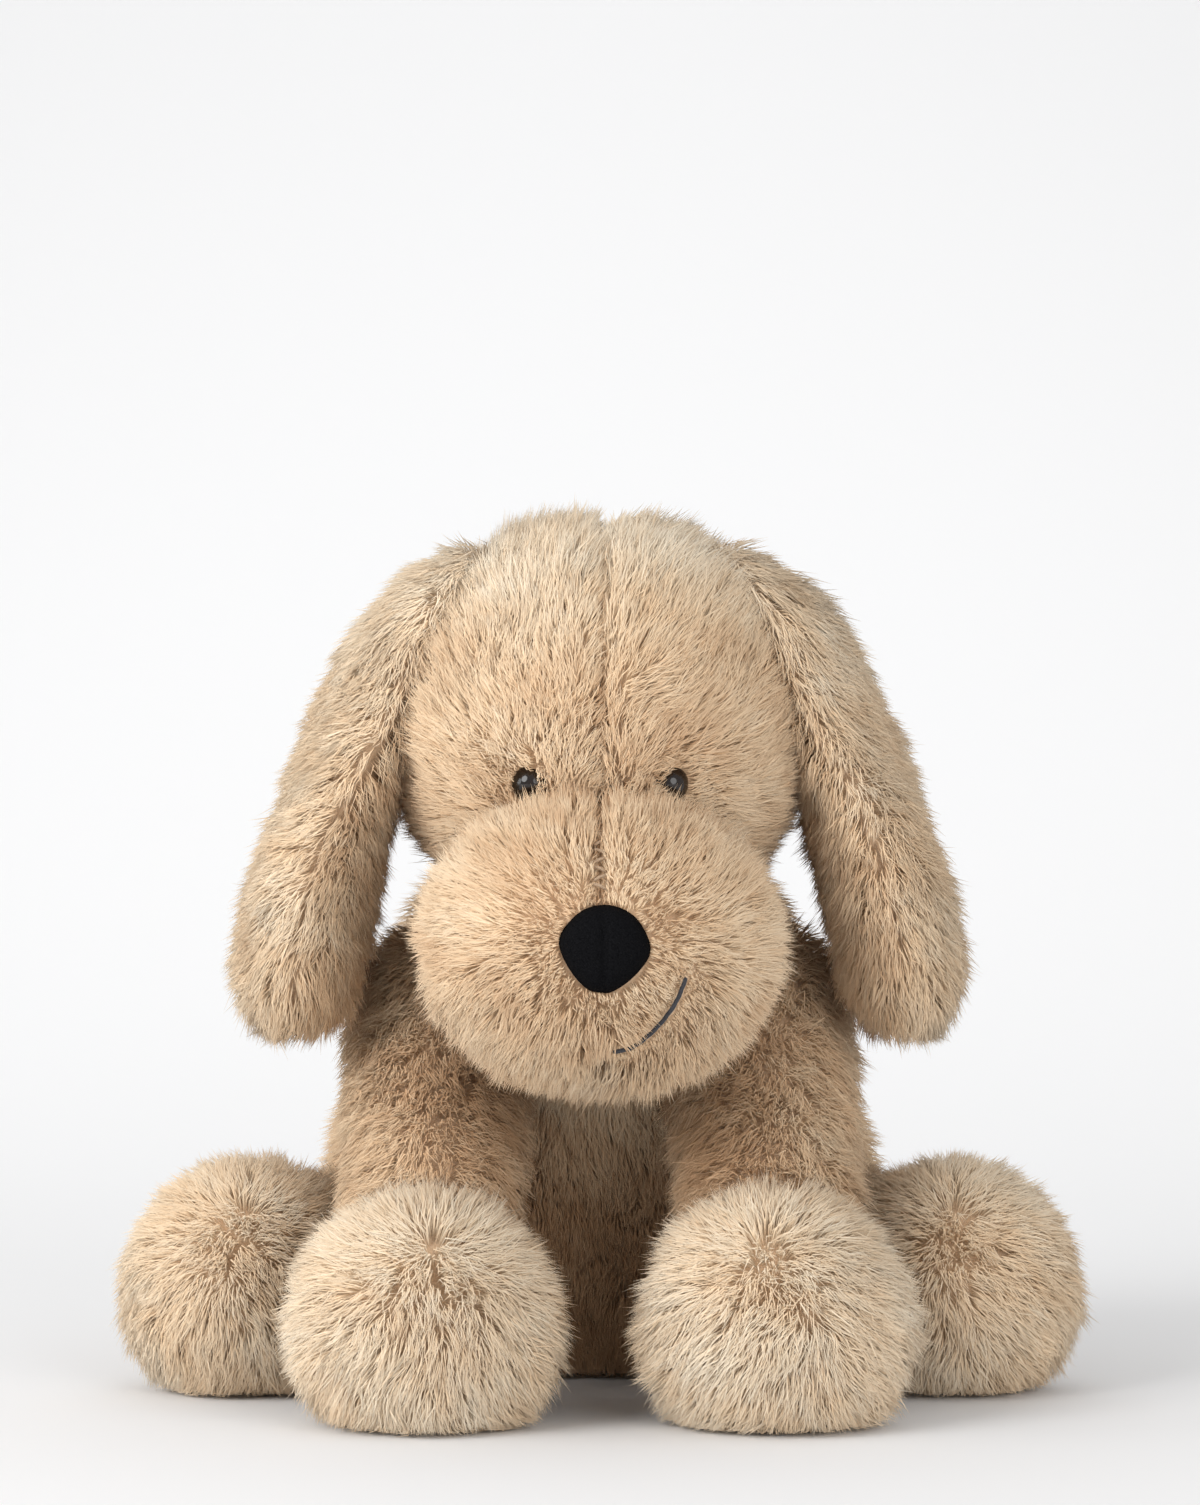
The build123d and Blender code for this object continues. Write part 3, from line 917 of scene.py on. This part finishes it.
def build_legs():
    """Tube, paw cover and sole of each leg."""
    for kind, joint, paw, joint_r, end_r, paw_fur, paw_tone, parting in (
        ("front", SHOULDER, FRONT_PAW, SHOULDER_RADIUS, WRIST_RADIUS, 12.0, 0.74, (-3.0, -20.0, 23.0)),
        ("rear", HIP, REAR_PAW, HIP_RADIUS, ANKLE_RADIUS, 11.2, 0.66, (0.0, -21.0, 22.0)),
    ):
        sleeve = away_from(limb(joint, paw, joint_r, end_r), paw, PAW_RADIUS - SLEEVE_DEPTH)
        whole = paw_surface(paw, PAW_RADIUS)
        low = whole.middles()[:, 2] < SOLE_TOP
        cover = whole.part(~low)
        sole = whole.part(low)
        along = unit(paw - joint)
        for side, sign in (("left", 1), ("right", -1)):
            flip = np.array((sign, 1, 1))
            body = f"{kind}_{side}_leg"
            prefix = f"{kind}_leg_{side}"
            turned = [s if sign > 0 else s.mirrored() for s in (sleeve, cover, sole)]
            way = along * flip
            leg_coat = Coat(steady(way[0] * 0.5, way[1] * 0.5, way[2] - 0.3), 11.0, 1.8, lift=0.55,
                            swirl=0.3, shade=arm_tone_and_painted_shade)
            part_point = (paw + np.array(parting)) * flip
            paw_coat = Coat(from_point(part_point, 0.25), paw_fur, 2.3, standing_near(part_point),
                            swirl=0.45, shade=even(paw_tone))
            bend = leg_bend(joint, paw, joint_r, sign)
            piece_pair(prefix + "_tube", turned[0], leg_coat, body, bend)
            piece_pair(prefix + "_paw_cover", turned[1], paw_coat, body)
            piece_pair(prefix + "_paw_sole", turned[2], None, body)


def build_tail():
    """Sleeve of the short tail."""
    sleeve = limb(TAIL_ROOT, TAIL_TIP, 11.0, 9.0, around=28, along=14, cap=6)
    coat = Coat(steady(0, 1.0, 0.2), 11.0, 1.6, lift=0.4)
    bend = ("torso", TAIL_ROOT - (0, 6, 0), TAIL_ROOT + (0, 14, 4))
    piece_pair("tail_cover", sleeve, coat, "tail", bend)


# ---------------------------------------------------------------- small parts

def lathe(profile, around=40, closed=True):
    """Surface turned about Z from (radius, height) points, closed on the axis or left open."""
    turn = np.linspace(0, 2 * math.pi, around, endpoint=False)
    loops = []
    for radius, height in profile:
        level = np.full(around, height)
        loops.append(np.stack((radius * np.cos(turn), radius * np.sin(turn), level), axis=1))
    return rings(np.array(loops), closed, closed)


def faced(surface, centre, out):
    """A surface made along Z, moved so that its Z points out from a centre."""
    out = unit(np.asarray(out, float))
    across = unit(np.cross((0.0, 0.0, 1.0), out))
    up = np.cross(out, across)
    turned = surface.points @ np.stack((across, up, out))
    return Surface(turned + centre, surface.faces)


def merged(surfaces):
    """Several surfaces as one."""
    points, faces, base = [], [], 0
    for surface in surfaces:
        points.append(surface.points)
        faces.extend(tuple(i + base for i in face) for face in surface.faces)
        base += len(surface.points)
    return Surface(np.concatenate(points), faces)


def tube(path, radius, around=8, taper=0.25):
    """Round thread along a path, thinner at its two ends."""
    path = np.asarray(path, float)
    along = unit(np.gradient(path, axis=0))
    side = unit(np.cross(along, (0.1, 1.0, 0.2)))
    other = np.cross(along, side)
    turn = np.linspace(0, 2 * math.pi, around, endpoint=False)
    ends = np.sin(np.linspace(0, math.pi, len(path)))
    size = radius * np.clip(ends / taper, 0.25, 1.0)
    ring = [side * math.cos(a) + other * math.sin(a) for a in turn]
    loops = np.stack([path + r * size[:, None] for r in ring], axis=1)
    return rings(loops)


WASHER_PROFILE = ((1.8, -8.8), (6.0, -8.8), (6.5, -8.4), (6.5, -7.8), (6.0, -7.4), (3.4, -7.4), (2.6, -6.9),
                  (1.8, -6.9), (1.8, -8.8))


def washer_ring():
    """Dished ring that locks an eye's stem."""
    return lathe(WASHER_PROFILE, 32, False)


def build_eyes():
    """Glossy buttons with a stem, and the locking washers behind."""
    dome = [(EYE_RADIUS * math.cos(a), EYE_RADIUS * math.sin(a)) for a in np.linspace(-0.45, 1.5, 16)]
    profile = [(0.2, -12.9), (1.5, -12.8), (1.5, -3.6), (4.2, -3.2)] + dome + [(0.05, EYE_RADIUS)]
    washer = washer_ring()
    washers = []
    for side, centre in (("left", EYES[0]), ("right", EYES[1])):
        out = centre - SKULL_CENTRE
        centre = centre - unit(out) * EYE_SINK
        button = faced(lathe(profile), centre, out)
        eye = mesh_from(f"eye_{side}_button", button.points, button.faces, EYE_PLASTIC)
        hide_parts(f"eye_{side}")
        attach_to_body(eye, "head")
        washers.append(faced(washer, centre, out))
    pair = merged(washers)
    both = mesh_from("eye_washer_pair", pair.points, pair.faces, WASHER_PLASTIC)
    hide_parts("eye_washers")
    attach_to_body(both, "head")


NOSE_OUTLINE = np.array((
    (0.0, 11.5), (6.5, 9.6), (11.0, 4.5), (12.2, -0.5), (8.6, -6.8), (3.6, -11.3), (0.0, -12.0),
    (-3.6, -11.3), (-8.6, -6.8), (-12.2, -0.5), (-11.0, 4.5), (-6.5, 9.6),
))
NOSE_CREASE = 0.9  # depth of the crease
NOSE_PUFF = 6.6  # how far the pad's middle stands off the muzzle's skin
NOSE_TILT = math.radians(-7)


def nose_rim(count):
    """Closed smooth outline of the nose, in X and Z from its middle."""
    n = len(NOSE_OUTLINE)
    out = []
    for s in np.linspace(0, n, count, endpoint=False):
        i = int(s)
        t = s - i
        a, b, c, d = (NOSE_OUTLINE[(i + k) % n] for k in (-1, 0, 1, 2))
        out.append(0.5 * (2 * b + (c - a) * t + (2 * a - 5 * b + 4 * c - d) * t * t
                          + (3 * b - a - 3 * c + d) * t ** 3))
    rim = np.array(out)
    c, s = math.cos(NOSE_TILT), math.sin(NOSE_TILT)
    return rim @ np.array(((c, s), (-s, c)))


def build_nose():
    """Puffed velvet pad with a soft crease down the middle."""
    rim = nose_rim(72)
    shares = np.concatenate((np.linspace(0.06, 0.9, 13), (0.94, 0.97, 0.99, 1.0)))
    loops = []
    for share in shares:
        puff = NOSE_PUFF * (1 - share ** 5) ** 0.45
        loops.append([(x * share, z * share, puff) for x, z in rim])
    for share in (0.97, 0.6, 0.2):
        loops.append([(x * share, z * share, 0.3) for x, z in rim])
    points = []
    for loop in loops:
        row = []
        for x, z, lift in loop:
            crease = NOSE_CREASE * math.exp(-(x / 1.1) ** 2) * (lift > 1)
            rise = z + NOSE_Z - MUZZLE_CENTRE[2]
            row.append(muzzle_path(x + NOSE_SHIFT, rise, lift - crease))
        points.append(row)
    pad = rings(np.array(points))
    nose = mesh_from("nose_velvet_pad", pad.points, pad.faces, VELVET)
    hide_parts("nose_pad")
    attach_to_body(nose, "head")


def stitch_run(line, count, radius, dip):
    """Separate stitches that follow a line, each diving into the cloth at its ends."""
    made = []
    n = len(line)
    for i in range(count):
        a = i / count * (n - 1)
        b = (i + 1.28) / count * (n - 1)
        where = np.linspace(a, min(b, n - 1), 12)
        path = np.stack([np.interp(where, range(n), line[:, k]) for k in range(3)], axis=1)
        sink = dip * (1 - np.sin(np.linspace(0, math.pi, 12)) ** 0.35)
        path = path + unit(MUZZLE_CENTRE - path) * sink[:, None]
        made.append(tube(path, radius))
    return made


MOUTH_THREAD = 0.60  # radius of the mouth's thread
MOUTH_STITCHES = 8  # on each side
MOUTH_DIP = 0.6  # how deep a stitch's ends dive
SEAM_THREAD_RADIUS = 0.42
SEAM_STITCHES = 8


def build_mouth():
    """Stitched smile: on the pile on the dog's left, sunk in the fur on its right."""
    runs = []
    for sign, lift, extra in ((1, 3.5, 3.0), (-1, -0.2, 0.0)):
        shares = np.linspace(1.0, 0.0, len(MOUTH))
        spots = [muzzle_path(x, rise, lift + extra * share) for (x, rise), share in zip(MOUTH, shares)]
        line = smooth_rows(np.array(spots), 60)
        runs.extend(stitch_run(line * (sign, 1, 1), MOUTH_STITCHES, MOUTH_THREAD, MOUTH_DIP))
    thread = merged(runs)
    mouth = mesh_from("mouth_thread", thread.points, thread.faces, THREAD)
    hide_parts("mouth_stitching")
    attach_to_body(mouth, "head")


def build_seam_thread():
    """Small ladder stitches along the muzzle's centre seam, above the nose."""
    made = []
    for i in range(SEAM_STITCHES):
        rise = 15.5 + i * 2.3
        side = 1 if i % 2 else -1
        a = muzzle_path(-1.7 * side, rise, 1.6)
        b = muzzle_path(1.7 * side, rise + 1.4, 1.6)
        middle = (a + b) / 2 + (0, -1.1, 0.4)
        made.append(tube(smooth_rows(np.array((a, middle, b)), 9), SEAM_THREAD_RADIUS))
    thread = merged(made)
    obj = mesh_from("muzzle_seam_thread", thread.points, thread.faces, SEAM_THREAD)
    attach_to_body(obj, "head")


# ---------------------------------------------------------------- fillings

def filling(node, body, shrink, look, bend=None, shape=None):
    """A hidden filling: the node's space or a shape, shrunk and dented like packed fibre or beans."""
    material, grain, depth, lump = look
    if shape is None:
        source = bpy.data.objects[node]
        mesh = source.data.copy()
        mesh.transform(source.matrix_world)
        mesh.materials.clear()
        mesh.materials.append(material)
        obj = link(bpy.data.objects.new(node + "_filling", mesh))
    else:
        obj = mesh_from(node + "_filling", shape.points, shape.faces, material)
    remesh = obj.modifiers.new("remesh", "REMESH")
    remesh.mode = "VOXEL"
    remesh.voxel_size = grain * MM
    apply_modifiers(obj)
    mesh = obj.data
    points = np.zeros(len(mesh.vertices) * 3)
    mesh.vertices.foreach_get("co", points)
    normals = np.zeros(len(mesh.vertices) * 3)
    mesh.vertices.foreach_get("normal", normals)
    points = points.reshape(-1, 3) / MM
    dent = 0.5 + 0.5 * np.clip(wobble(points, lump, 31), -1, 1)
    points = points - normals.reshape(-1, 3) * (dent * depth + shrink)[:, None]
    mesh.vertices.foreach_set("co", (points * MM).ravel())
    mesh.materials.clear()
    mesh.materials.append(material)
    mesh.shade_smooth()
    mesh.update()
    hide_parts(node)
    attach(obj, body, bend)


# material, size of the mesh's cells, depth of the dents, size of the lumps
FIBRE_LOOK = (FIBRE, 3.0, 1.2, 9.0)
EAR_LOOK = (FIBRE, 2.0, 1.2, 9.0)
BEAN_LOOK = (BAG_CLOTH, 1.6, 0.8, 3.0)
EAR_PADDING = CLOTH + 0.8  # how far inside the ear's surface its filling starts


def build_fillings():
    """Fibre in every cover, bean bags in the seat and the paws."""
    fibre = (("torso_stuffing", "torso", 3.0), ("neck_stuffing", "neck", 1.0),
             ("head_stuffing", "head", 2.5), ("muzzle_stuffing", "head", 1.5),
             ("tail_stuffing", "tail", 1.0))
    for node, body, shrink in fibre:
        filling(node, body, shrink, FIBRE_LOOK)
    leaf = ear_surface()
    leaf = leaf.moved(np.full(len(leaf.points), -EAR_PADDING))
    for side, sign in (("left", 1), ("right", -1)):
        pad = leaf if sign > 0 else leaf.mirrored()
        filling(f"ear_{side}_stuffing", f"{side}_ear", 0.3, EAR_LOOK, ear_bend(sign), pad)
        front = leg_bend(SHOULDER, FRONT_PAW, SHOULDER_RADIUS, sign)
        rear = leg_bend(HIP, REAR_PAW, HIP_RADIUS, sign)
        filling(f"front_leg_{side}_stuffing", f"front_{side}_leg", 1.0, FIBRE_LOOK, front)
        filling(f"rear_leg_{side}_stuffing", f"rear_{side}_leg", 1.0, FIBRE_LOOK, rear)
    bags = [("seat_bean_bag", "torso")]
    for kind in ("front", "rear"):
        for side in ("left", "right"):
            bags.append((f"{kind}_leg_{side}_paw_bean_bag", f"{kind}_{side}_leg"))
    for node, body in bags:
        filling(node, body, 0.1, BEAN_LOOK)


# ---------------------------------------------------------------- stage

def look_at(obj, target):
    """Point an object's -Z at a target."""
    obj.rotation_euler = (Vector(target) - obj.location).to_track_quat("-Z", "Y").to_euler()


def area_light(name, place, target, size, power):
    """Soft round light."""
    light = bpy.data.lights.new(name, "AREA")
    light.shape = "DISK"
    light.size = size
    light.energy = power
    obj = link(bpy.data.objects.new(name, light))
    obj.location = place
    look_at(obj, target)


WORLD_LIGHT = 0.62  # strength of the surrounding light on the dog
WORLD_SEEN = 0.93  # how bright the surroundings look to the camera
SWEEP_FRONT = -7.0  # the floor's front edge, in metres
SWEEP_START = 0.5  # the backdrop curves up from here, in metres
SWEEP_RADIUS = 2.6
SWEEP_SIDE = 7.0
SWEEP_ANGLE = 75  # degrees of the curve
CAMERA_PLACE = (0, -1.449, 0.184)
CAMERA_LENS = 115


def build_sweep():
    """Pale floor that curves up behind the dog."""
    floor, _, shader = new_material("floor", 0.9)
    shader.inputs["Base Color"].default_value = (0.90, 0.90, 0.905, 1)
    angles = np.linspace(0, math.radians(SWEEP_ANGLE), 90)
    curve = [(SWEEP_FRONT, 0.0)]
    for angle in angles:
        curve.append((SWEEP_START + SWEEP_RADIUS * math.sin(angle), SWEEP_RADIUS * (1 - math.cos(angle))))
    points = []
    for y, z in curve:
        points.append((-SWEEP_SIDE / MM, y / MM, z / MM))
        points.append((SWEEP_SIDE / MM, y / MM, z / MM))
    faces = [(2 * i, 2 * i + 1, 2 * i + 3, 2 * i + 2) for i in range(len(curve) - 1)]
    sweep = mesh_from("backdrop", points, faces, floor)


def build_world():
    """Even white surroundings, brighter to the camera than to the dog."""
    world = bpy.data.worlds.new("studio")
    world.use_nodes = True
    tree = world.node_tree
    background = tree.nodes["Background"]
    background.inputs["Color"].default_value = (1, 1, 1, 1)
    rays = tree.nodes.new("ShaderNodeLightPath")
    strength = tree.nodes.new("ShaderNodeMix")
    strength.inputs["A"].default_value = WORLD_LIGHT
    strength.inputs["B"].default_value = WORLD_SEEN
    tree.links.new(rays.outputs["Is Camera Ray"], strength.inputs["Factor"])
    tree.links.new(strength.outputs["Result"], background.inputs["Strength"])
    bpy.context.scene.world = world


def build_stage():
    """Pale sweep, soft studio light and the camera."""
    build_sweep()
    build_world()
    area_light("key", (-1.3, -1.4, 1.0), (0, 0, 0.10), 1.2, 22)
    area_light("side", (-1.7, -0.5, 0.45), (-0.05, -0.05, 0.08), 0.9, 6)
    area_light("fill", (0.9, -1.7, 0.6), (0, 0, 0.08), 1.2, 11)
    area_light("back_wash", (0.0, 0.9, 1.6), (0, 2.2, 0.5), 1.5, 8)
    camera_data = bpy.data.cameras.new("camera")
    camera_data.lens = CAMERA_LENS
    camera_data.sensor_width = 36
    camera = link(bpy.data.objects.new("camera", camera_data))
    camera.location = CAMERA_PLACE
    camera.rotation_euler = (math.pi / 2, 0, 0)
    bpy.context.scene.camera = camera
    bpy.context.scene.view_settings.view_transform = "Standard"


build_stage()
build_torso()
build_neck()
build_head()
build_ears()
build_legs()
build_tail()
build_eyes()
build_nose()
build_mouth()
build_seam_thread()
build_fillings()
